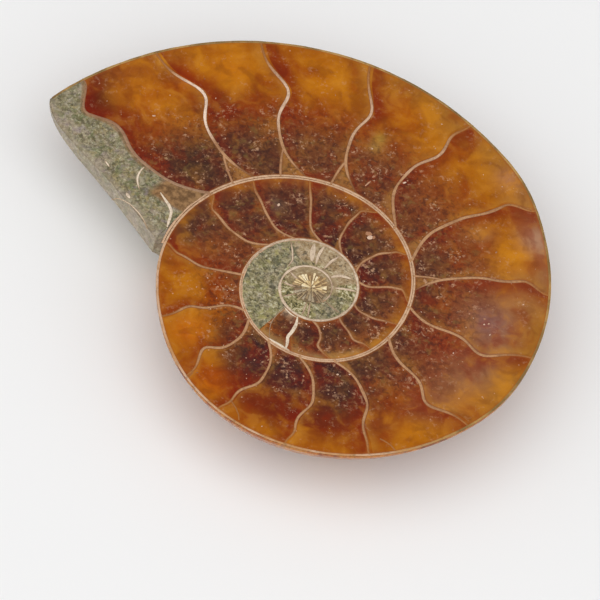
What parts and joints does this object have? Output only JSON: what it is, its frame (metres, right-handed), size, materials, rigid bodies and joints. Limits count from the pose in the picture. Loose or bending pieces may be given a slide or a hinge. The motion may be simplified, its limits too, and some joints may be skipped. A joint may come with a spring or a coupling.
{
  "type": "polished ammonite fossil half",
  "caption": "Sawn and polished half of a coiled ammonite shell in calcite and stone, with a flat cut face and a domed outer side that it rests on.",
  "frame": {"origin": "middle of the bounding box, on the plane of the flat crest that the half rests on", "axes": "+Z out of the sawn face; +Y away from a viewer who has the broken open end of the coil at the left; +X to the viewer's right, along the longest side"},
  "size_m": [0.0538, 0.0482, 0.0084],
  "materials": {
    "fossil_stone": "polished amber and red-brown calcite chambers, cream septa, grey-green sandstone at the open end and in the core"
  },
  "bodies": {
    "root": {"ammonite_half": "fossil_stone"}
  },
  "joints": []
}
